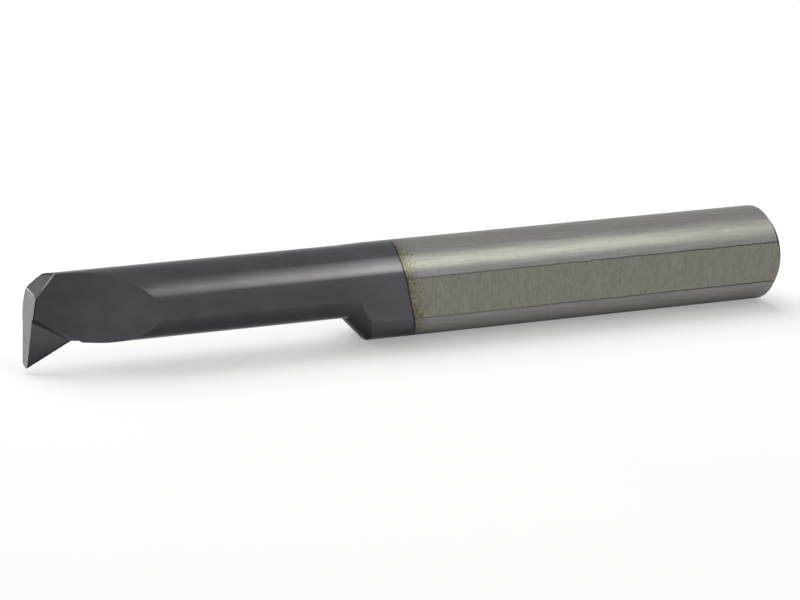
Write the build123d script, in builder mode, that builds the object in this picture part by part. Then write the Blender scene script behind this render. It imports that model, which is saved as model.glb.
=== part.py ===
from build123d import *

import os
from math import cos, radians, sin, tan

# Solid carbide boring bar for small bores, ground from one round blank.
#
# X runs back along the shank, -Y is the way the clamping flat and the rake face look, and
# -Z is the side of the cutting tip. The origin is on the shank's axis, where its full
# diameter begins behind the shoulder. All sizes are in millimetres and degrees.

# Shank
shank_diameter = 6.0
shank_length = 29.5
shank_end_chamfer = 0.45
flat_depth = 0.285  # of the clamping flat, ground along the whole shank

# Neck, ground off centre so that it keeps the blank's own skin on the side away from the
# tip, and the shoulder that leads to it
neck_diameter = 4.72
neck_lift = 1.03  # of the neck's axis from the shank's, away from the tip
neck_shift = 0.5  # of the neck's axis from the shank's, towards the flat
neck_relief = 0.05  # of the blank's skin along the neck, so that only the shank fits the holder
neck_length = 21.1  # from the tip to the foot of the shoulder
shoulder_angle = 42.0  # to the axis
shoulder_root_radius = 0.35

# Head, a nib that stands out of the neck to carry the tip
tip_height = 2.66  # from the shank's axis to the tip
nib_length = 3.3
nib_back_angle = 21.0  # of the nib's back, from square to the rake face
nib_back_inset = 0.05  # of the nib's back, where it runs into the neck
front_lean = 7.0  # of the end cutting edge, from square to the axis
front_clearance = 6.0
corner_height = 1.6  # from the shank's axis to the foot of the cut corner
corner_angle = 50.5  # of the cut corner, to the axis
corner_clearance = 1.0

# Rake face, level with the axis, and the ramp that runs it out of the neck
rake_length = 3.4  # from the tip to where the ramp's line meets the face
ramp_angle = 34.0
ramp_radius = 5.0

# Flank behind the tip, and its run-out along the neck
trailing_length = 3.15
trailing_angle = 23.2  # to the axis
trailing_clearance = 14.6
runout_angle = 10.7

# Chip breaker, sunk into the rake face beside the tip
breaker_width = 2.84  # from the tip to the breaker's wall
breaker_depth = 0.24  # at the wall, and nothing at the tip
breaker_angle = 27.8  # of the wall, to the axis
breaker_wall_slope = 45.0

shank_radius = shank_diameter / 2
neck_radius = neck_diameter / 2
shoulder_length = (shank_radius + neck_lift - neck_radius) / tan(radians(shoulder_angle))
tip_x = -shoulder_length - neck_length
tip = Vector(tip_x, 0, -tip_height)
past = 2 * shank_diameter  # how far a grinding wheel's shape reaches past the blank


def grind(origin, outward):
    """Cut away what lies outward of a plane through origin."""
    split(bisect_by=Plane(origin=origin, z_dir=outward), keep=Keep.BOTTOM)


with BuildPart() as boring_bar:
    # Round blank, a little thinner ahead of the shank, with its rear edge broken
    with BuildSketch(Plane.XZ):
        with BuildLine():
            Polyline(
                (tip_x, 0),
                (tip_x, shank_radius - neck_relief),
                (-shoulder_length, shank_radius - neck_relief),
                (0, shank_radius),
                (shank_length, shank_radius),
                (shank_length, 0),
                close=True,
            )
        make_face()
    revolve(axis=Axis.X)
    chamfer(boring_bar.edges().sort_by(Axis.X)[-1], shank_end_chamfer)

    # Neck and shoulder, ground round about the neck's own axis
    wheel_height = past * tan(radians(shoulder_angle))
    with BuildSketch(Plane.XZ.offset(neck_shift)):
        with BuildLine() as wheel:
            FilletPolyline(
                (tip_x - past, neck_lift + neck_radius),
                (-shoulder_length, neck_lift + neck_radius),
                (-shoulder_length + past, neck_lift + neck_radius + wheel_height),
                radius=shoulder_root_radius,
            )
            Polyline(
                wheel.line @ 1,
                (tip_x - past, neck_lift + neck_radius + wheel_height),
                wheel.line @ 0,
            )
        make_face()
    revolve(axis=Axis((0, -neck_shift, neck_lift), (1, 0, 0)), mode=Mode.SUBTRACT)

    # Nib, its sloped back running into the neck
    back_slope = radians(nib_back_angle)
    back_distance = neck_radius - nib_back_inset
    back_y = back_distance * cos(back_slope) - neck_shift
    back_z = neck_lift - back_distance * sin(back_slope)
    with BuildSketch(Plane.YZ.offset(tip_x)):
        with BuildLine():
            Polyline(
                (0, neck_lift),
                (back_y, back_z),
                (back_y - (tip_height + back_z) * tan(back_slope), -tip_height),
                (-neck_radius / 2, -tip_height),
                (-neck_radius / 2, neck_lift),
                close=True,
            )
        make_face()
    extrude(amount=nib_length)

    # Clamping flat along the shank
    grind((0, flat_depth - shank_radius, 0), (0, -1, 0))

    # Rake face and its ramp
    with BuildSketch():
        with BuildLine() as wheel:
            FilletPolyline(
                (tip_x - past, 0),
                (tip_x + rake_length, 0),
                (tip_x + rake_length + past, -past * tan(radians(ramp_angle))),
                radius=ramp_radius,
            )
            Polyline(wheel.line @ 1, (tip_x - past, -past * tan(radians(ramp_angle))), wheel.line @ 0)
        make_face()
    extrude(amount=past, both=True, mode=Mode.SUBTRACT)

    # Flank behind the tip, with its clearance, run out along the neck
    trailing_end = tip + Vector(trailing_length, 0, trailing_length * tan(radians(trailing_angle)))
    with BuildSketch(Plane.XZ):
        with BuildLine():
            Polyline(
                (tip_x - past, -tip_height - past * tan(radians(trailing_angle))),
                (trailing_end.X, trailing_end.Z),
                (trailing_end.X + past, trailing_end.Z - past * tan(radians(runout_angle))),
                (trailing_end.X + past, -2 * past),
                (tip_x - past, -2 * past),
                close=True,
            )
        make_face()
    clearance = Vector(0, cos(radians(trailing_clearance)), sin(radians(trailing_clearance)))
    extrude(amount=shank_diameter, dir=clearance, both=True, mode=Mode.SUBTRACT)

    # End face and cut corner, both with clearance behind the rake face
    lean = tan(radians(front_lean))
    grind(tip, (-1, tan(radians(front_clearance)), lean))
    corner = (tip_x + lean * (corner_height + tip_height), 0, corner_height)
    corner_slope = radians(corner_angle)
    grind(corner, (-sin(corner_slope), tan(radians(corner_clearance)), cos(corner_slope)))

    # Chip breaker, a shallow ramp from the tip down to a sloped wall
    along = Vector(cos(radians(breaker_angle)), 0, -sin(radians(breaker_angle)))
    wall_run = breaker_depth / tan(radians(breaker_wall_slope))
    with BuildSketch(Plane(origin=tip, x_dir=along.cross(Vector(0, 1, 0)), z_dir=along)):
        with BuildLine():
            Polyline(
                (0, 0),
                (breaker_width - wall_run, -breaker_depth),
                (breaker_width, 0),
                (breaker_width, past),
                (0, past),
                close=True,
            )
        make_face()
    extrude(amount=past, both=True, mode=Mode.SUBTRACT)

boring_bar.part.label = "boring_bar"
os.makedirs("parts", exist_ok=True)
export_step(boring_bar.part, "parts/boring_bar.step")
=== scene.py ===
"""A solid carbide boring bar: round shank with a clamping flat, off-centre neck and ground nib.

Shapes are worked out in millimetres and handed over in metres. X runs back along the shank,
-Y is the way the clamping flat and the rake face look, and -Z is the side of the cutting tip.
"""

from math import cos, pi, radians, sin, sqrt, tan
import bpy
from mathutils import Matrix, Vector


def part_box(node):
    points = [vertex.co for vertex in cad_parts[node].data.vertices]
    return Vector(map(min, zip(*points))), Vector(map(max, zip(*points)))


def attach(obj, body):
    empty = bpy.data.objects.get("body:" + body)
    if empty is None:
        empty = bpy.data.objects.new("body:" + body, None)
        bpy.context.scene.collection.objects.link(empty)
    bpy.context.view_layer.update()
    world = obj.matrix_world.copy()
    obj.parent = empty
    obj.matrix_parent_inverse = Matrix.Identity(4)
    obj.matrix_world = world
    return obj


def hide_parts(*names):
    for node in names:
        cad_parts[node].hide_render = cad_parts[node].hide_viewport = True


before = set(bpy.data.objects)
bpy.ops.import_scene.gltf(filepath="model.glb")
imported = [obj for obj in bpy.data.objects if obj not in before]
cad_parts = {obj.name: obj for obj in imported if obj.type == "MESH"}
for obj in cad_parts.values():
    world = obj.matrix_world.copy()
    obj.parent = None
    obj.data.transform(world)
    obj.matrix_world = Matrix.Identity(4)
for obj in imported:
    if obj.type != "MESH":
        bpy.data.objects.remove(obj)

from types import SimpleNamespace

import bmesh
import bpy
from bpy.props import FloatProperty, FloatVectorProperty, IntProperty, PointerProperty
from mathutils import Euler, Matrix, Vector

bl_info = {
    "name": "Boring Bar",
    "version": (1, 0, 0),
    "blender": (4, 5, 0),
    "location": "View3D > Sidebar > Boring Bar",
    "description": "Grinds a solid carbide boring bar from a round blank and lights it",
    "category": "Add Mesh",
}

MM = 0.001
PAST = 12.0  # mm, how far a grinding wheel's shape reaches past the blank
SEAM = 1e-4  # mm, gap that is closed in a turned solid
SLIVER = 2e-4  # mm, edges shorter than this are closed up in the finished bar
BAR_LOW, BAR_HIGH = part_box("boring_bar")
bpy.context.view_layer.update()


def length(name, description, default):
    """A size in metres."""
    return FloatProperty(
        name=name, description=description, default=default, min=0.0, precision=5,
        subtype="DISTANCE", unit="LENGTH",
    )


def angle(name, description, degrees):
    """An angle, kept in radians."""
    return FloatProperty(
        name=name, description=description, default=radians(degrees),
        subtype="ANGLE", unit="ROTATION",
    )


def colour(name, description, default):
    """A surface colour."""
    return FloatVectorProperty(
        name=name, description=description, default=default, size=3, min=0.0, max=1.0,
        subtype="COLOR",
    )


def share(name, description, default):
    """A number from nothing to all."""
    return FloatProperty(
        name=name, description=description, default=default, min=0.0, max=1.0, subtype="FACTOR",
    )


def brightness(name, description, default):
    """How bright a light looks beside white paper."""
    return FloatProperty(name=name, description=description, default=default, min=0.0)


class BoringBarSizes(bpy.types.PropertyGroup):
    """Sizes of the ground bar"""

    shank_radius: length("Shank radius", "Radius of the shank", BAR_HIGH.z)
    shank_length: length("Shank length", "From the shoulder to the rear end", BAR_HIGH.x)
    shank_chamfer: length("Rear chamfer", "Broken edge of the rear end", 0.45 * MM)
    flat_height: length("Flat height", "From the shank's axis to the clamping flat", -BAR_LOW.y)
    neck_radius: length("Neck radius", "Radius that the neck is ground to", 2.36 * MM)
    neck_lift: length("Neck lift", "Neck's axis above the shank's, away from the tip", 1.03 * MM)
    neck_shift: length("Neck shift", "Neck's axis from the shank's, towards the flat", 0.5 * MM)
    neck_relief: length("Neck relief", "How much thinner the blank is along the neck", 0.05 * MM)
    shoulder_angle: angle("Shoulder angle", "Slope of the shoulder, to the axis", 42.0)
    shoulder_radius: length("Shoulder radius", "Radius at the shoulder's root", 0.35 * MM)
    tip_height: length("Tip height", "From the shank's axis to the tip", 2.66 * MM)
    nib_length: length("Nib length", "From the tip to the end of the nib's back", 3.3 * MM)
    nib_back_angle: angle("Nib back angle", "Nib's back, from square to the rake face", 21.0)
    nib_back_inset: length("Nib back inset", "How far its back runs into the neck", 0.05 * MM)
    front_lean: angle("Front lean", "End cutting edge, from square to the axis", 7.0)
    front_clearance: angle("Front clearance", "Clearance of the end face", 6.0)
    corner_height: length("Corner height", "From the axis to the foot of the cut corner", 1.6 * MM)
    corner_angle: angle("Corner angle", "Cut corner, to the axis", 50.5)
    corner_clearance: angle("Corner clearance", "Clearance of the cut corner", 1.0)
    rake_length: length("Rake length", "From the tip to the foot of the ramp's line", 3.4 * MM)
    ramp_angle: angle("Ramp angle", "Slope of the ramp behind the rake face", 34.0)
    ramp_radius: length("Ramp radius", "Radius between the rake face and its ramp", 5.0 * MM)
    trailing_length: length("Trailing length", "Length of the flank behind the tip", 3.15 * MM)
    trailing_angle: angle("Trailing angle", "Flank behind the tip, to the axis", 23.2)
    trailing_clearance: angle("Trailing clearance", "Clearance of that flank", 14.6)
    runout_angle: angle("Run-out angle", "Slope at which that flank runs out", 10.7)
    breaker_width: length("Breaker width", "From the tip to the chip breaker's wall", 2.84 * MM)
    breaker_depth: length("Breaker depth", "Depth of the chip breaker at its wall", 0.24 * MM)
    breaker_angle: angle("Breaker angle", "Chip breaker's wall, to the axis", 27.8)
    breaker_wall_slope: angle("Breaker wall slope", "Slope of the chip breaker's wall", 45.0)
    edge_rounding: length("Edge rounding", "Width of the honed edges of the head", 0.05 * MM)
    facets: IntProperty(
        name="Facets", description="Facets round the shank", default=256, min=32, max=512)


class BoringBarFinish(bpy.types.PropertyGroup):
    """Colours and finish of the carbide and its coating"""

    bare: colour("Bare carbide", "Ground shank", (0.200, 0.197, 0.186))
    bare_roughness: share("Bare roughness", "Roughness of the ground shank", 0.33)
    flat: colour("Ground flat", "Clamping flat", (0.197, 0.187, 0.158))
    flat_roughness: share("Flat roughness", "What the flat adds to the shank's roughness", 0.14)
    flat_edges: colour("Flat edges", "Ragged edges of the clamping flat", (0.04, 0.036, 0.032))
    chamfer: colour("Rear chamfer", "Broken edge of the rear end", (0.075, 0.075, 0.078))
    chamfer_cover: share("Chamfer cover", "How much of the shank's colour the chamfer hides", 0.9)
    coating: colour("Coating", "Head, neck and front of the shank", (0.0645, 0.0635, 0.072))
    coating_roughness: share("Coating roughness", "Roughness of the coating", 0.17)
    coating_end: length("Coating end", "Where the coating ends, on the shank's axis", 2.61 * MM)
    rim: colour("Coating rim", "Thin line along the coating's edge", (0.015, 0.014, 0.015))
    rim_cover: share("Rim cover", "How much of the colours below it the rim hides", 0.85)
    haze: colour("Haze", "Tint of the bare metal beside the coating's edge", (0.86, 0.82, 0.66))
    overspray: colour("Overspray", "Specks of coating behind its edge", (0.070, 0.056, 0.034))
    overspray_cover: share("Overspray cover", "How much of the shank's colour a speck hides", 0.75)
    faces: colour("End faces", "Ground after coating, like the cut corner", (0.262, 0.262, 0.272))
    faces_roughness: share("End face roughness", "What they add to the coating's roughness", 0.15)
    # Painted shade: near-black lines drawn beside the head's edges
    painted_shade_lines: colour("Dark lines", "Left beside the head's edges", (0.01, 0.01, 0.011))
    # Carbide where the coating is thin, lightened into painted glints along the head's edges
    worn_glint: colour("Worn edge", "Edges of the head where the coating is thin", (0.17, 0.17, 0.175))
    # Painted shade: near-black edges, without sheen, on the upper end cutting edge and on edges
    # facing down
    whole: colour("Whole edge", "Edges of the head that keep their coating", (0.008, 0.008, 0.009))
    edge_roughness: share("Edge roughness", "Roughness of the head's edges", 0.3)
    line_depth: length("Line depth", "Depth of the grinding lines and turning marks", 0.004 * MM)


class BoringBarStage(bpy.types.PropertyGroup):
    """Floor, lights and camera"""

    floor_colour: colour("Floor", "Colour of the floor", (0.9, 0.9, 0.9))
    tent_strength: brightness("Light tent", "Brightness of the white tent all round", 1.0)
    tent_fill: share("Tent fill", "Share of the light tent that falls on the floor", 0.35)
    key_radiance: brightness("Key light", "Brightness of the softbox above the front", 4.45)
    top_radiance: brightness("Top light", "Brightness of the softbox above the back", 3.5)
    rim_radiance: brightness("Rim light", "Brightness of the softbox behind", 4.0)
    key_colour: colour("Key colour", "Colour of the softbox above the front", (1.0, 0.995, 0.87))
    camera_azimuth: angle("Camera azimuth", "Round the bar, from straight in front", -31.91)
    camera_elevation: angle("Camera elevation", "Above the floor", 14.375)
    camera_roll: angle("Camera roll", "Turn about the line of sight", 2.868)
    camera_distance: length("Camera distance", "From the point looked at", 281.615 * MM)
    camera_target: FloatVectorProperty(
        name="Camera target", description="Point looked at",
        default=(2.676 * MM, 0.076 * MM, -0.830 * MM), precision=5,
        subtype="TRANSLATION", unit="LENGTH")
    camera_lens: FloatProperty(
        name="Lens", description="Focal length in millimetres", default=206.2, min=1.0,
        unit="CAMERA")


# Shapes, all in millimetres


def in_millimetres(sizes):
    """The sizes as plain numbers: lengths in millimetres, angles in radians."""
    plain = SimpleNamespace(tip_x=BAR_LOW.x / MM)
    for name, prop in sizes.bl_rna.properties.items():
        if prop.type in {"FLOAT", "INT"}:
            value = getattr(sizes, name)
            setattr(plain, name, value / MM if prop.unit == "LENGTH" else value)
    plain.skin_radius = plain.shank_radius - plain.neck_relief
    plain.flat_half_width = sqrt(plain.shank_radius ** 2 - plain.flat_height ** 2)
    plain.shoulder_length = (
        (plain.shank_radius + plain.neck_lift - plain.neck_radius) / tan(plain.shoulder_angle)
    )
    return plain


def rounded(before, corner, after, radius, steps):
    """Points of an arc of a given radius in place of a corner."""
    before, corner, after = Vector(before), Vector(corner), Vector(after)
    first, last = (before - corner).normalized(), (after - corner).normalized()
    half = first.angle(last) / 2
    middle = corner + (first + last).normalized() * (radius / sin(half))
    start = corner + first * (radius / tan(half)) - middle
    end = corner + last * (radius / tan(half)) - middle
    return [middle + start.slerp(end, i / steps).normalized() * radius for i in range(steps + 1)]


def turned(outline, facets, y=0.0, z=0.0):
    """A solid turned about a line along X, from a closed outline of (x, radius) points."""
    solid = bmesh.new()
    ring = [solid.verts.new((x, y, z + radius)) for x, radius in outline]
    edges = [solid.edges.new(pair) for pair in zip(ring, ring[1:] + ring[:1])]
    bmesh.ops.spin(
        solid, geom=ring + edges, cent=(0, y, z), axis=(1, 0, 0), angle=2 * pi, steps=facets,
        use_merge=True,
    )
    bmesh.ops.remove_doubles(solid, verts=solid.verts, dist=SEAM)
    bmesh.ops.recalc_face_normals(solid, faces=solid.faces)
    return solid


def prism(outline, push):
    """A solid with one flat end, given by its corners, and the other pushed away from it."""
    solid = bmesh.new()
    near = [solid.verts.new(corner) for corner in outline]
    far = [solid.verts.new(Vector(corner) + Vector(push)) for corner in outline]
    solid.faces.new(near)
    solid.faces.new(far)
    for i, corner in enumerate(near):
        j = (i + 1) % len(near)
        solid.faces.new((corner, near[j], far[j], far[i]))
    bmesh.ops.recalc_face_normals(solid, faces=solid.faces)
    return solid


def slab(origin, outward):
    """All that lies outward of a plane, as a thick block."""
    size = 4 * PAST
    origin = Vector(origin)
    outward = Vector(outward).normalized()
    across = outward.orthogonal().normalized() * size
    up = outward.cross(across)
    corners = [
        origin + across + up, origin - across + up, origin - across - up, origin + across - up,
    ]
    return prism(corners, outward * size)


def as_object(solid, name):
    """A mesh object made from a bmesh, which it uses up."""
    mesh = bpy.data.meshes.new(name)
    solid.to_mesh(mesh)
    solid.free()
    made = bpy.data.objects.new(name, mesh)
    bpy.context.collection.objects.link(made)
    return made


def apply_modifiers(made):
    """Make what an object's modifiers show its own mesh."""
    depsgraph = bpy.context.evaluated_depsgraph_get()
    depsgraph.update()
    shown = bpy.data.meshes.new_from_object(made.evaluated_get(depsgraph))
    made.modifiers.clear()
    old, made.data = made.data, shown
    bpy.data.meshes.remove(old)


def carve(bar, solid, operation="DIFFERENCE"):
    """Cut a solid out of the bar, or add it, and clear the solid away."""
    tool = as_object(solid, "grinding wheel")
    cut = bar.modifiers.new("cut", "BOOLEAN")
    cut.operation = operation
    cut.solver = "EXACT"
    cut.object = tool
    apply_modifiers(bar)
    bpy.data.meshes.remove(tool.data)


def grind_blank(s):
    """The round blank, a little thinner ahead of the shank, with its rear edge broken."""
    return turned(
        [
            (s.tip_x, 0),
            (s.tip_x, s.skin_radius),
            (-s.shoulder_length, s.skin_radius),
            (0, s.shank_radius),
            (s.shank_length - s.shank_chamfer, s.shank_radius),
            (s.shank_length, s.shank_radius - s.shank_chamfer),
            (s.shank_length, 0),
        ],
        s.facets,
    )


def neck_wheel(s):
    """Grinds the neck and its shoulder, round about the neck's own axis."""
    rise = PAST * tan(s.shoulder_angle)
    foot = rounded(
        (s.tip_x - PAST, s.neck_radius),
        (-s.shoulder_length, s.neck_radius),
        (-s.shoulder_length + PAST, s.neck_radius + rise),
        s.shoulder_radius,
        steps=12,
    )
    return turned(
        [
            (s.tip_x - PAST, s.neck_radius),
            *foot,
            (-s.shoulder_length + PAST, s.neck_radius + rise),
            (s.tip_x - PAST, s.neck_radius + rise),
        ],
        s.facets,
        y=-s.neck_shift,
        z=s.neck_lift,
    )


def nib(s):
    """Stands out of the neck to carry the tip, its sloped back running into the neck."""
    reach = s.neck_radius - s.nib_back_inset
    back_y = reach * cos(s.nib_back_angle) - s.neck_shift
    back_z = s.neck_lift - reach * sin(s.nib_back_angle)
    foot_y = back_y - (s.tip_height + back_z) * tan(s.nib_back_angle)
    front_y = -s.neck_radius / 2
    outline = [
        (0, s.neck_lift), (back_y, back_z), (foot_y, -s.tip_height),
        (front_y, -s.tip_height), (front_y, s.neck_lift),
    ]
    return prism([(s.tip_x, y, z) for y, z in outline], (s.nib_length, 0, 0))


def rake_wheel(s):
    """Grinds the rake face, level with the axis, and the ramp that runs it out of the neck."""
    drop = PAST * tan(s.ramp_angle)
    start = s.tip_x + s.rake_length
    outline = [
        (s.tip_x - PAST, 0),
        *rounded((s.tip_x - PAST, 0), (start, 0), (start + PAST, -drop), s.ramp_radius, steps=40),
        (start + PAST, -drop),
        (s.tip_x - PAST, -drop),
    ]
    return prism([(x, y, -PAST) for x, y in outline], (0, 0, 2 * PAST))


def flank_wheel(s):
    """Grinds the flank behind the tip, with its clearance, and runs it out along the neck."""
    end_x = s.tip_x + s.trailing_length
    end_z = s.trailing_length * tan(s.trailing_angle) - s.tip_height
    outline = [
        (s.tip_x - PAST, -s.tip_height - PAST * tan(s.trailing_angle)),
        (end_x, end_z),
        (end_x + PAST, end_z - PAST * tan(s.runout_angle)),
        (end_x + PAST, -2 * PAST),
        (s.tip_x - PAST, -2 * PAST),
    ]
    clearance = Vector((0, cos(s.trailing_clearance), sin(s.trailing_clearance)))
    reach = clearance * 2 * s.shank_radius
    return prism([Vector((x, 0, z)) - reach for x, z in outline], 2 * reach)


def breaker_wheel(s):
    """Grinds the chip breaker, a shallow ramp from the tip down to a sloped wall."""
    along = Vector((cos(s.breaker_angle), 0, -sin(s.breaker_angle)))
    inward = Vector((sin(s.breaker_angle), 0, cos(s.breaker_angle)))
    out = Vector((0, -1, 0))
    tip = Vector((s.tip_x, 0, -s.tip_height))
    run = s.breaker_depth / tan(s.breaker_wall_slope)
    outline = [
        (0, 0),
        (s.breaker_width - run, -s.breaker_depth),
        (s.breaker_width, 0),
        (s.breaker_width, PAST),
        (0, PAST),
    ]
    corners = [tip + inward * a + out * b - along * PAST for a, b in outline]
    return prism(corners, along * 2 * PAST)


def mark_edges(mesh, s):
    """Mark the head's sharp edges for honing, and shade the rest smooth between its edges."""
    crisp = radians(12)
    sharp = radians(30)
    coplanar = radians(0.05)
    ahead, outward = -0.5, -0.9  # a face of the head's front looks at least so far along X or Y
    head_end = s.tip_x + s.nib_length
    bar = bmesh.new()
    bar.from_mesh(mesh)
    bmesh.ops.remove_doubles(bar, verts=bar.verts, dist=SLIVER)
    bmesh.ops.dissolve_limit(bar, angle_limit=coplanar, verts=bar.verts, edges=bar.edges)
    honed = bar.edges.layers.float.new("bevel_weight_edge")
    for edge in bar.edges:
        turn = edge.calc_face_angle(pi)
        edge.smooth = turn < crisp
        in_head = all(vert.co.x < head_end for vert in edge.verts)
        in_front = all(
            face.normal.x < ahead or face.normal.y < outward for face in edge.link_faces
        )
        edge[honed] = 1.0 if turn > sharp and in_head and in_front else 0.0
    for face in bar.faces:
        face.smooth = True
    bar.to_mesh(mesh)
    bar.free()


def ground_bar(s, carbide_material, edge_material):
    """The whole bar, ground from its blank in order, as one object."""
    tip = (s.tip_x, 0, -s.tip_height)
    lean = tan(s.front_lean)
    corner = (s.tip_x + lean * (s.corner_height + s.tip_height), 0, s.corner_height)
    end_face = (-1, tan(s.front_clearance), lean)
    cut_corner = (-sin(s.corner_angle), tan(s.corner_clearance), cos(s.corner_angle))
    bar = as_object(grind_blank(s), "ground_bar")
    carve(bar, neck_wheel(s))
    carve(bar, nib(s), "UNION")
    carve(bar, slab((0, -s.flat_height, 0), (0, -1, 0)))
    carve(bar, rake_wheel(s))
    carve(bar, flank_wheel(s))
    carve(bar, slab(tip, end_face))
    carve(bar, slab(corner, cut_corner))
    carve(bar, breaker_wheel(s))
    mark_edges(bar.data, s)

    bar.data.materials.append(carbide_material)
    bar.data.materials.append(edge_material)
    honing = bar.modifiers.new("honed edges", "BEVEL")
    honing.limit_method = "WEIGHT"
    honing.width = s.edge_rounding
    honing.segments = 2
    honing.material = 1
    honing.use_clamp_overlap = False
    apply_modifiers(bar)
    bar.data.transform(Matrix.Scale(MM, 4))
    return bar


# Shader nodes. A band is a pair of values between which something comes or goes.

COME, GO = (0.0, 1.0), (1.0, 0.0)


def add(tree, kind, inputs=None, **settings):
    """A shader node with its settings, and its inputs set or linked by name or number."""
    made = tree.nodes.new("ShaderNode" + kind)
    for name, value in settings.items():
        setattr(made, name, value)
    for name, value in (inputs or {}).items():
        if isinstance(value, bpy.types.NodeSocket):
            tree.links.new(value, made.inputs[name])
        else:
            made.inputs[name].default_value = value
    return made


def calc(tree, operation, a, b=0.0, clamp=False):
    """Arithmetic on one or two values."""
    return add(tree, "Math", {0: a, 1: b}, operation=operation, use_clamp=clamp).outputs[0]


def product(tree, first, *others):
    """Values multiplied together."""
    for other in others:
        first = calc(tree, "MULTIPLY", first, other)
    return first


def total(tree, first, *others):
    """Values added together."""
    for other in others:
        first = calc(tree, "ADD", first, other)
    return first


def ramp(tree, value, band, levels=COME):
    """A smooth step from one level to another as a value crosses a band."""
    (low, high), (before, after) = band, levels
    return add(
        tree, "MapRange",
        {"Value": value, "From Min": low, "From Max": high, "To Min": before, "To Max": after},
        interpolation_type="SMOOTHSTEP",
    ).outputs["Result"]


def mixed(tree, factor, first, second):
    """Two values mixed."""
    return add(
        tree, "Mix", {"Factor": factor, 2: first, 3: second}, data_type="FLOAT",
    ).outputs[0]


def blend(tree, factor, first, second, blend_type="MIX"):
    """Two colours mixed."""
    made = add(tree, "Mix", {"Factor": factor}, data_type="RGBA", blend_type=blend_type)
    for socket, value in ((made.inputs[6], first), (made.inputs[7], second)):
        if isinstance(value, bpy.types.NodeSocket):
            tree.links.new(value, socket)
        else:
            socket.default_value = (*value, 1.0)
    return made.outputs[2]


def grey(level):
    """An even colour."""
    return (level, level, level)


def scaled(tree, vector, factor):
    """A vector or a colour, times a factor."""
    return add(tree, "VectorMath", {0: vector, "Scale": factor}, operation="SCALE").outputs[0]


def measured(tree, operation, first, second=(0.0, 0.0, 0.0)):
    """One number from two vectors: their dot product or their distance."""
    return add(
        tree, "VectorMath", {0: first, 1: second}, operation=operation,
    ).outputs["Value"]


def noise(tree, place, cells, detail=2.0, roughness=0.5):
    """Noise with so many cells a millimetre along each axis."""
    stretched = add(tree, "VectorMath", {0: place, 1: cells}, operation="MULTIPLY").outputs[0]
    return add(
        tree, "TexNoise",
        {"Vector": stretched, "Scale": 1.0, "Detail": detail, "Roughness": roughness},
    ).outputs["Fac"]


def mottled(tree, grain, levels):
    """A level that follows a noise from its lower to its higher cells."""
    return ramp(tree, grain, (0.3, 0.7), levels)


def swing(tree, grain, width):
    """A noise that swings about nothing."""
    return calc(tree, "MULTIPLY", calc(tree, "SUBTRACT", grain, 0.5), width)


def new_material(name):
    """An empty node material with its output and a Principled shader."""
    material = bpy.data.materials.new(name)
    material.use_nodes = True
    tree = material.node_tree
    tree.nodes.clear()
    shader = add(tree, "BsdfPrincipled")
    output = add(tree, "OutputMaterial")
    tree.links.new(shader.outputs[0], output.inputs["Surface"])
    return material, tree, shader


# Finishes

COATING_SLANT = (1.0, -0.344, 0.28)  # across the coating's edge, by how far it leans
COATING_WAVER = 0.12  # mm, between the coating's edge at its foremost and at its hindmost
FLAT_CHATTER = 0.16  # mm, the same for the flat's edges
SPECK_CONTRAST = 14.0  # how sharply the specks of overspray stand out
END_FACES = (-20.5, -20.0)  # mm along the bar, where the end face and the cut corner stop

# How bright each area stays where it is seen along its surface, from 0 to 1; lower below and on the
# shoulder as painted shade
GLANCE_COAT_BELOW = 0.57
GLANCE_COAT_ABOVE = 0.64
GLANCE_SHOULDER_SHADE = 0.40
GLANCE_UNCOATED = 0.75
GLANCE_CHAMFER = 0.1

# Noises: cells a millimetre along each axis, detail and roughness
GRAINS = {
    "waver": ((3.0, 3.0, 3.0), 3.0, 0.5),  # of the coating's edge
    "specks": ((9.0, 9.0, 9.0), 2.0, 0.6),  # of overspray
    "lines": ((16.0, 1.0, 2.0), 4.0, 0.7),  # ground across the flat
    "bands": ((1.3, 1.0, 0.25), 2.0, 0.5),  # of lighter and darker lines
    "chatter": ((2.5, 0.2, 0.6), 3.0, 0.7),  # of the flat's edges
    "turning": ((14.0, 0.5, 0.5), 3.0, 0.6),  # marks round the shank
    "streaks": ((0.35, 5.0, 5.0), 4.0, 0.65),  # along the shank
    "mottle": ((0.5, 0.9, 0.9), 3.0, 0.5),  # of the coating
    "grit": ((7.0, 7.0, 7.0), 3.0, 0.7),  # of the ground end faces
}


def surface(tree):
    """Where a point of the bar lies, in millimetres, and the way it faces."""
    place = scaled(tree, add(tree, "TexCoord").outputs["Object"], 1 / MM)
    x, y, z = add(tree, "SeparateXYZ", {0: place}).outputs
    normal = add(tree, "NewGeometry").outputs["Normal"]
    facing_x, facing_y, facing_z = add(tree, "SeparateXYZ", {0: normal}).outputs
    return SimpleNamespace(
        place=place, x=x, y=y, z=z, facing_x=facing_x, facing_y=facing_y, facing_z=facing_z,
    )


def areas(tree, at, grain, finish):
    """How far behind the coating's edge a point lies, and how much it is of each area."""
    slant = measured(tree, "DOT_PRODUCT", at.place, COATING_SLANT)
    from_edge = calc(tree, "SUBTRACT", slant, finish.coating_end / MM)
    behind = total(tree, from_edge, swing(tree, grain.waver, COATING_WAVER))
    at_rim = product(tree, ramp(tree, behind, (-0.10, 0.0)), ramp(tree, behind, (0.02, 0.10), GO))
    backward = ramp(tree, at.facing_x, (0.3, 0.6))
    not_square = ramp(tree, at.facing_x, (0.8, 0.95), GO)
    ahead = ramp(tree, at.facing_x, (-0.725, -0.98))
    return SimpleNamespace(
        behind_coating=behind,
        coated=ramp(tree, behind, (-0.02, 0.03), GO),
        rim=at_rim,
        flat=ramp(tree, at.facing_y, (-0.95, -0.985)),
        chamfer=product(tree, backward, not_square),
        end_faces=product(tree, ahead, ramp(tree, at.x, END_FACES, GO)),
    )


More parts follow.
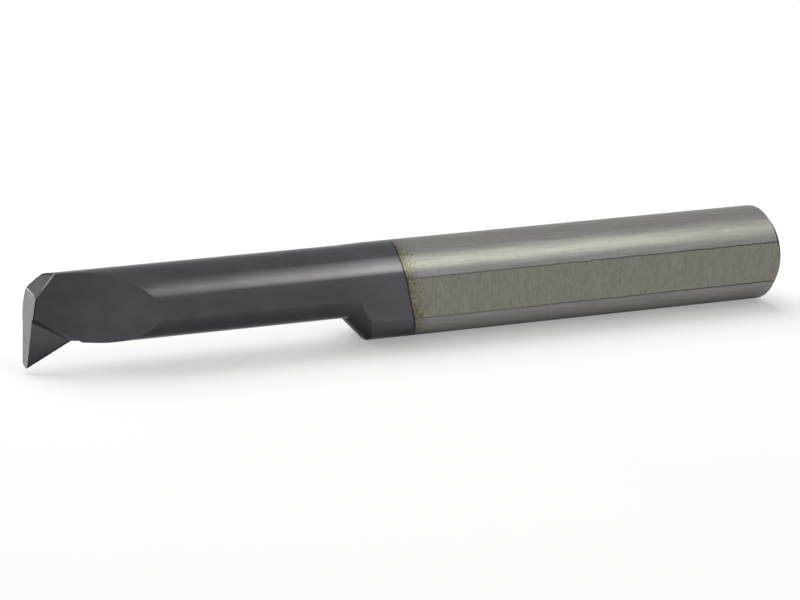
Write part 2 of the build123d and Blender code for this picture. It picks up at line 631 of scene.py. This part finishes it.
def bare_colour(tree, at, area, grain, finish, s):
    """The uncoated shank: turning marks, the ground flat, overspray and the dark chamfer."""
    round_tone = product(
        tree, mottled(tree, grain.turning, (0.97, 1.03)), mottled(tree, grain.streaks, (0.9, 1.1)),
    )
    flat_tone = product(
        tree, mottled(tree, grain.lines, (0.80, 1.18)), mottled(tree, grain.bands, (0.97, 1.03)),
    )
    shank = scaled(tree, finish.bare, round_tone)
    bare = blend(tree, area.flat, shank, scaled(tree, finish.flat, flat_tone))

    # Ragged edges of the flat, darker towards the rear
    beyond_edge = calc(tree, "SUBTRACT", calc(tree, "ABSOLUTE", at.z), s.flat_half_width)
    ragged_edge = total(tree, beyond_edge, swing(tree, grain.chatter, FLAT_CHATTER))
    ragged = product(
        tree,
        ramp(tree, calc(tree, "ABSOLUTE", ragged_edge), (0.0, 0.07), GO),
        ramp(tree, at.y, (0.25 - s.flat_height, 0.05 - s.flat_height)),
        ramp(tree, at.x, (4.0, 29.0), (0.6, 0.95)),
    )
    bare = blend(tree, ragged, bare, finish.flat_edges)

    # Overspray, a haze and specks that thin out behind the coating's edge
    haze = ramp(tree, area.behind_coating, (0.0, 1.2), (0.6, 0.0))
    bare = blend(tree, haze, bare, finish.haze, "MULTIPLY")
    threshold = ramp(tree, area.behind_coating, (-0.4, 2.0), (0.43, 0.70))
    above = calc(tree, "SUBTRACT", grain.specks, threshold)
    specks = calc(tree, "MULTIPLY", above, SPECK_CONTRAST, clamp=True)
    bare = blend(tree, product(tree, specks, finish.overspray_cover), bare, finish.overspray)
    return blend(tree, product(tree, area.chamfer, finish.chamfer_cover), bare, finish.chamfer)


def breaker_painted_light(tree, at):
    """Painted light and shade on the chip breaker: its ramp darker near the tip and lighter away
    from it, and its wall lightened.
    """
    lightest = ramp(tree, at.z, (-2.5, -0.3), (-0.2, 0.5))
    floor = product(
        tree,
        ramp(tree, at.facing_y, (-0.985, -0.995)),
        ramp(tree, at.facing_z, (0.03, 0.06)),
        ramp(tree, at.x, (-19.8, -19.4), GO),
        lightest,
    )
    wall = product(
        tree,
        ramp(tree, at.facing_y, (-0.8, -0.72)),
        ramp(tree, at.facing_z, (-0.5, -0.6)),
        ramp(tree, at.x, (-19.4, -19.0), (0.6, 0.0)),
    )
    return total(tree, floor, wall)


def end_face_shade_lines(tree, at, s):
    """Painted shade: a dark line round the end faces, beside the skin that is left away from the
    tip.
    """
    off_axis = add(tree, "CombineXYZ", {0: 0.0, 1: at.y, 2: at.z}).outputs[0]
    from_neck_axis = measured(tree, "DISTANCE", off_axis, (0.0, -s.neck_shift, s.neck_lift))
    from_axis = measured(tree, "DISTANCE", off_axis)
    beside_neck = ramp(tree, from_neck_axis, (s.neck_radius - 0.12, s.neck_radius - 0.05))
    beside_skin = ramp(tree, from_axis, (s.skin_radius - 0.14, s.skin_radius - 0.05))
    return product(
        tree,
        calc(tree, "MAXIMUM", beside_neck, beside_skin),
        ramp(tree, at.z, (-0.2, 1.2), (0.0, 0.9)),
        ramp(tree, at.facing_x, (-0.6, -0.7)),
        ramp(tree, at.x, END_FACES, GO),
    )


def flank_shade_line(tree, at, s):
    """Painted shade: a dark line on the chip breaker, along the edge of the flank behind the tip.
    """
    along = Vector((cos(s.trailing_angle), 0, sin(s.trailing_angle)))
    clearance = Vector((0, cos(s.trailing_clearance), sin(s.trailing_clearance)))
    inward = along.cross(clearance).normalized()
    flank = inward.dot(Vector((s.tip_x, 0, -s.tip_height)))
    inside = measured(tree, "DOT_PRODUCT", at.place, inward)
    return product(
        tree,
        ramp(tree, inside, (flank + 0.04, flank + 0.11), (0.95, 0.0)),
        ramp(tree, at.facing_y, (-0.97, -0.99)),
        ramp(tree, at.x, (-19.6, -19.2), GO),
    )


def coat_colour(tree, at, area, grain, finish, s):
    """The coating, the end faces ground after it and painted shade lines beside the head's edges,
    with painted light and shade in its tone.
    """
    tone = product(
        tree,
        mottled(tree, grain.mottle, (0.93, 1.07)),
        # Painted shade darkens the head towards the tip; painted light brightens the coating just
        # ahead of the shank
        ramp(tree, at.x, (-22.5, -17.0), (0.78, 1.0)),
        ramp(tree, at.x, (-3.5, -0.5), (1.0, 1.2)),
        total(tree, breaker_painted_light(tree, at), 1.0),
    )
    coat = scaled(tree, finish.coating, tone)
    ground = product(tree, area.end_faces, mottled(tree, grain.grit, (0.6, 1.3)))
    coat = blend(tree, ground, coat, finish.faces)
    # Painted shade lines round the end faces and along the flank's edge
    lines = calc(tree, "MAXIMUM", end_face_shade_lines(tree, at, s), flank_shade_line(tree, at, s))
    return blend(tree, lines, coat, finish.painted_shade_lines)


def bar_roughness(tree, area, grain, finish):
    """Smoothest on the coating, and rougher where the bar is ground."""
    bare = total(
        tree,
        product(tree, area.flat, finish.flat_roughness),
        finish.bare_roughness,
        swing(tree, grain.lines, 0.2),
    )
    coat = total(
        tree,
        swing(tree, grain.mottle, 0.06),
        finish.coating_roughness,
        product(tree, area.end_faces, finish.faces_roughness),
    )
    return mixed(tree, area.coated, bare, coat)


def glancing_tint(tree, at, area):
    """How bright each area stays where it is seen along its surface, less on the coating's
    underside and on the shoulder as painted shade.
    """
    # Painted shade: the coating facing down keeps less of its sheen, the shoulder less still
    upward = ramp(tree, at.facing_z, (-0.6, 0.5))
    tint = blend(tree, upward, grey(GLANCE_COAT_BELOW), grey(GLANCE_COAT_ABOVE))
    shoulder = product(
        tree, ramp(tree, at.facing_x, (-0.1, -0.4)), ramp(tree, at.x, (-6.0, -5.5)),
    )
    tint = blend(tree, shoulder, tint, grey(GLANCE_SHOULDER_SHADE))
    only_coated = product(tree, area.coated, calc(tree, "SUBTRACT", 1.0, area.end_faces))
    tint = blend(tree, only_coated, grey(GLANCE_UNCOATED), tint)
    return blend(tree, area.chamfer, tint, grey(GLANCE_CHAMFER))


def carbide(finish, s):
    """Ground carbide, coated in front of a slanted line and bare behind it."""
    material, tree, shader = new_material("ground carbide")
    at = surface(tree)
    grain = SimpleNamespace(
        **{name: noise(tree, at.place, *settings) for name, settings in GRAINS.items()}
    )
    area = areas(tree, at, grain, finish)
    bare = bare_colour(tree, at, area, grain, finish, s)
    base = blend(tree, area.coated, bare, coat_colour(tree, at, area, grain, finish, s))
    base = blend(tree, product(tree, area.rim, finish.rim_cover), base, finish.rim)

    # Relief of the grinding lines and the turning marks, nearly filled where it is coated
    marks = total(
        tree, product(tree, grain.lines, area.flat), calc(tree, "MULTIPLY", grain.turning, 0.08),
    )
    height = product(tree, marks, ramp(tree, area.coated, (0.0, 1.0), (1.0, 0.2)))
    relief = add(
        tree, "Bump", {"Strength": 0.35, "Distance": finish.line_depth, "Height": height},
    )

    shader.inputs["Metallic"].default_value = 1.0
    tree.links.new(glancing_tint(tree, at, area), shader.inputs["Specular Tint"])
    tree.links.new(base, shader.inputs["Base Color"])
    tree.links.new(bar_roughness(tree, area, grain, finish), shader.inputs["Roughness"])
    tree.links.new(relief.outputs[0], shader.inputs["Normal"])
    return material


def glinting_worn_edge(finish):
    """Honed edges of the head: carbide where the coating is thin, with painted glints, and painted
    shade as near-black edges.
    """
    material, tree, shader = new_material("worn edge")
    at = surface(tree)
    patches = ramp(tree, noise(tree, at.place, (2.5, 2.5, 2.5), 3.0), (0.35, 0.65))
    worn_glint = blend(tree, patches, [0.7 * channel for channel in finish.worn_glint], finish.worn_glint)

    # Painted glints: lighter along the cut corner and along the lower half of the end cutting edge,
    # and brighter still on edges below the axis
    on_corner = product(tree, ramp(tree, at.y, (0.15, 0.35), GO), ramp(tree, at.z, (1.5, 1.7)))
    lighter = scaled(tree, worn_glint, ramp(tree, at.z, (1.6, 2.9), (0.9, 2.4)))
    worn_glint = blend(tree, on_corner, worn_glint, lighter)
    worn_glint = blend(tree, ramp(tree, at.z, (0.2, 0.4), GO), worn_glint, grey(2.6), "MULTIPLY")

    # Painted shade: near black and without sheen along the upper half of the end cutting edge, and
    # on edges facing down
    upper_half = product(
        tree,
        ramp(tree, at.y, (0.25, 0.32), GO),
        ramp(tree, at.z, (0.05, 0.15)),
        ramp(tree, at.z, (1.5, 1.7), GO),
    )
    whole = calc(tree, "MAXIMUM", upper_half, ramp(tree, at.facing_z, (-0.2, -0.4)))
    tree.links.new(blend(tree, whole, worn_glint, finish.whole), shader.inputs["Base Color"])
    tree.links.new(blend(tree, whole, grey(1.0), grey(0.0)), shader.inputs["Specular Tint"])
    shader.inputs["Metallic"].default_value = 1.0
    shader.inputs["Roughness"].default_value = finish.edge_roughness
    return material


def seen_white(tree):
    """On where the white round the bar is seen, straight, in the metal or through glass."""
    rays = add(tree, "LightPath").outputs
    seen = calc(tree, "MAXIMUM", rays["Is Camera Ray"], rays["Is Glossy Ray"])
    return calc(tree, "MAXIMUM", seen, rays["Is Transmission Ray"])


def floor_paper(stage):
    """White paper that stays white into the distance and keeps the bar's shadow, with painted light
    near the bar.
    """
    material, tree, shader = new_material("floor paper")
    shader.inputs["Base Color"].default_value = (*stage.floor_colour, 1.0)
    shader.inputs["Roughness"].default_value = 0.9
    shader.inputs["Specular IOR Level"].default_value = 0.0
    place = add(tree, "TexCoord").outputs["Object"]
    x, y, _ = add(tree, "SeparateXYZ", {0: place}).outputs

    # The glow of the far paper, then of the near paper, seen straight and in the metal, in metres.
    # Near the bar the glow is painted light: seen straight it lightens the shadow more under the
    # neck than under the shank, and seen in the metal it fades out close under the shank and stays
    # at 0.42 under the head
    far = ramp(tree, measured(tree, "DISTANCE", place), (0.04, 0.15))
    straight = ramp(tree, x, (-0.007, 0.002), (0.5, 0.33))
    beside = ramp(tree, calc(tree, "ABSOLUTE", y), (0.0003, 0.0035), (0.0, 0.85))
    mirrored = mixed(tree, ramp(tree, x, (-0.003, 0.004)), 0.42, beside)
    near = mixed(tree, add(tree, "LightPath").outputs["Is Camera Ray"], mirrored, straight)
    share_of_glow = product(tree, calc(tree, "MAXIMUM", far, near), seen_white(tree))
    glow = add(tree, "Emission", {"Color": (1, 1, 1, 1), "Strength": 1.0})
    lit = add(tree, "MixShader", {0: share_of_glow, 1: shader.outputs[0], 2: glow.outputs[0]})
    output = next(n for n in tree.nodes if n.type == "OUTPUT_MATERIAL")
    tree.links.new(lit.outputs[0], output.inputs["Surface"])
    return material


# Stage, in metres

FLOOR_HALF = 3.0
FLOOR_THICKNESS = 0.01
WHITE = (1.0, 1.0, 1.0)

# The key softbox, hung level in strips from front to back: left edge, share of its brightness
KEY_STRIPS = ((0.117, 0.72), (0.110, 1.2), (0.100, 1.08), (0.098, 0.8), (0.098, 0.55), (0.098, 0.3))
KEY_RIGHT = 0.161
KEY_FRONT = -0.150
KEY_DEPTH = 0.164
KEY_HEIGHT = 0.200

# The other softboxes, which look at the bar: place, width and height
TOP_SOFTBOX = (-0.03, 0.14, 0.26), 0.28, 0.28
RIM_SOFTBOX = (-0.13, 0.32, 0.06), 0.2, 0.12


def lay_floor(stage, shank_radius):
    """The floor, which the shank touches."""
    half = FLOOR_HALF
    corners = [(-half, -half, 0), (half, -half, 0), (half, half, 0), (-half, half, 0)]
    floor = as_object(prism(corners, (0, 0, -FLOOR_THICKNESS)), "floor")
    floor.location.z = -shank_radius
    floor.data.materials.append(floor_paper(stage))


def light_tent(stage):
    """White all round, that lights the bar less than it is seen."""
    world = bpy.data.worlds.new("light tent")
    world.use_nodes = True
    tree = world.node_tree
    background = tree.nodes["Background"]
    background.inputs["Color"].default_value = (*WHITE, 1.0)
    levels = (stage.tent_strength * stage.tent_fill, stage.tent_strength)
    strength = ramp(tree, seen_white(tree), (0.0, 1.0), levels)
    tree.links.new(strength, background.inputs["Strength"])
    world.cycles.sampling_method = "NONE"
    return world


def softbox(name, place, width, height, radiance, tint, target=(0, 0, 0)):
    """A rectangular lamp that looks at a point, as bright as asked."""
    lamp = bpy.data.lights.new(name, "AREA")
    lamp.shape = "RECTANGLE"
    lamp.size, lamp.size_y = width, height
    lamp.energy = radiance * pi * width * height
    lamp.color = tint
    made = bpy.data.objects.new(name, lamp)
    made.location = place
    made.rotation_mode = "QUATERNION"
    made.rotation_quaternion = (Vector(target) - Vector(place)).to_track_quat("-Z", "Y")
    bpy.context.scene.collection.objects.link(made)
    return made


def hang_softboxes(stage):
    """The key softbox in strips, the one above the back and the one behind."""
    depth = KEY_DEPTH / len(KEY_STRIPS)
    for i, (left, strength) in enumerate(KEY_STRIPS):
        middle = Vector(((left + KEY_RIGHT) / 2, KEY_FRONT + depth * (i + 0.5), KEY_HEIGHT))
        softbox(
            "key softbox", middle, KEY_RIGHT - left, depth, stage.key_radiance * strength,
            stage.key_colour, target=middle - Vector((0, 0, 1)),
        )
    top = softbox("top softbox", *TOP_SOFTBOX, stage.top_radiance, WHITE)
    top.visible_glossy = False
    softbox("rim softbox", *RIM_SOFTBOX, stage.rim_radiance, WHITE)


def aimed_camera(stage):
    """The camera, turned to its point and rolled."""
    turn = Euler((pi / 2 - stage.camera_elevation, 0, stage.camera_azimuth)).to_quaternion()
    back = turn @ Vector((0, 0, 1))
    camera = bpy.data.objects.new("camera", bpy.data.cameras.new("camera"))
    camera.rotation_mode = "QUATERNION"
    camera.rotation_quaternion = turn @ Euler((0, 0, stage.camera_roll)).to_quaternion()
    camera.location = Vector(stage.camera_target) + back * stage.camera_distance
    camera.data.lens = stage.camera_lens
    camera.data.clip_start = 0.01
    bpy.context.scene.collection.objects.link(camera)
    return camera


class BORINGBAR_OT_grind_bar(bpy.types.Operator):
    """Grind the bar from its blank and give it its coating"""

    bl_idname = "boring_bar.grind_bar"
    bl_label = "Grind Bar"
    bl_options = {"REGISTER", "UNDO"}

    def execute(self, context):
        finish = context.scene.boring_bar_finish
        s = in_millimetres(context.scene.boring_bar_sizes)
        bar = ground_bar(s, carbide(finish, s), glinting_worn_edge(finish))
        if not bar.data.polygons:
            raise RuntimeError("the bar came out empty: check its sizes")
        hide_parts("boring_bar")
        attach(bar, "root")
        return {"FINISHED"}


class BORINGBAR_OT_set_stage(bpy.types.Operator):
    """Lay the floor, hang the lights and set the camera"""

    bl_idname = "boring_bar.set_stage"
    bl_label = "Set Stage"
    bl_options = {"REGISTER", "UNDO"}

    def execute(self, context):
        scene = context.scene
        stage = scene.boring_bar_stage
        lay_floor(stage, scene.boring_bar_sizes.shank_radius)
        scene.world = light_tent(stage)
        hang_softboxes(stage)
        scene.camera = aimed_camera(stage)
        scene.view_settings.view_transform = "Standard"
        return {"FINISHED"}


class BORINGBAR_PT_sidebar(bpy.types.Panel):
    """Boring bar tools"""

    bl_label = "Boring Bar"
    bl_idname = "BORINGBAR_PT_sidebar"
    bl_space_type = "VIEW_3D"
    bl_region_type = "UI"
    bl_category = "Boring Bar"

    def draw(self, context):
        for settings, operator in (
            (context.scene.boring_bar_sizes, "boring_bar.grind_bar"),
            (context.scene.boring_bar_finish, None),
            (context.scene.boring_bar_stage, "boring_bar.set_stage"),
        ):
            column = self.layout.column(align=True)
            for name in settings.__annotations__:
                column.prop(settings, name)
            if operator:
                column.operator(operator)


CLASSES = (
    BoringBarSizes,
    BoringBarFinish,
    BoringBarStage,
    BORINGBAR_OT_grind_bar,
    BORINGBAR_OT_set_stage,
    BORINGBAR_PT_sidebar,
)


def register():
    for cls in CLASSES:
        bpy.utils.register_class(cls)
    bpy.types.Scene.boring_bar_sizes = PointerProperty(type=BoringBarSizes)
    bpy.types.Scene.boring_bar_finish = PointerProperty(type=BoringBarFinish)
    bpy.types.Scene.boring_bar_stage = PointerProperty(type=BoringBarStage)


def unregister():
    del bpy.types.Scene.boring_bar_stage
    del bpy.types.Scene.boring_bar_finish
    del bpy.types.Scene.boring_bar_sizes
    for cls in reversed(CLASSES):
        bpy.utils.unregister_class(cls)


def main():
    register()
    bpy.ops.boring_bar.grind_bar()
    bpy.ops.boring_bar.set_stage()


if __name__ == "__main__":
    main()
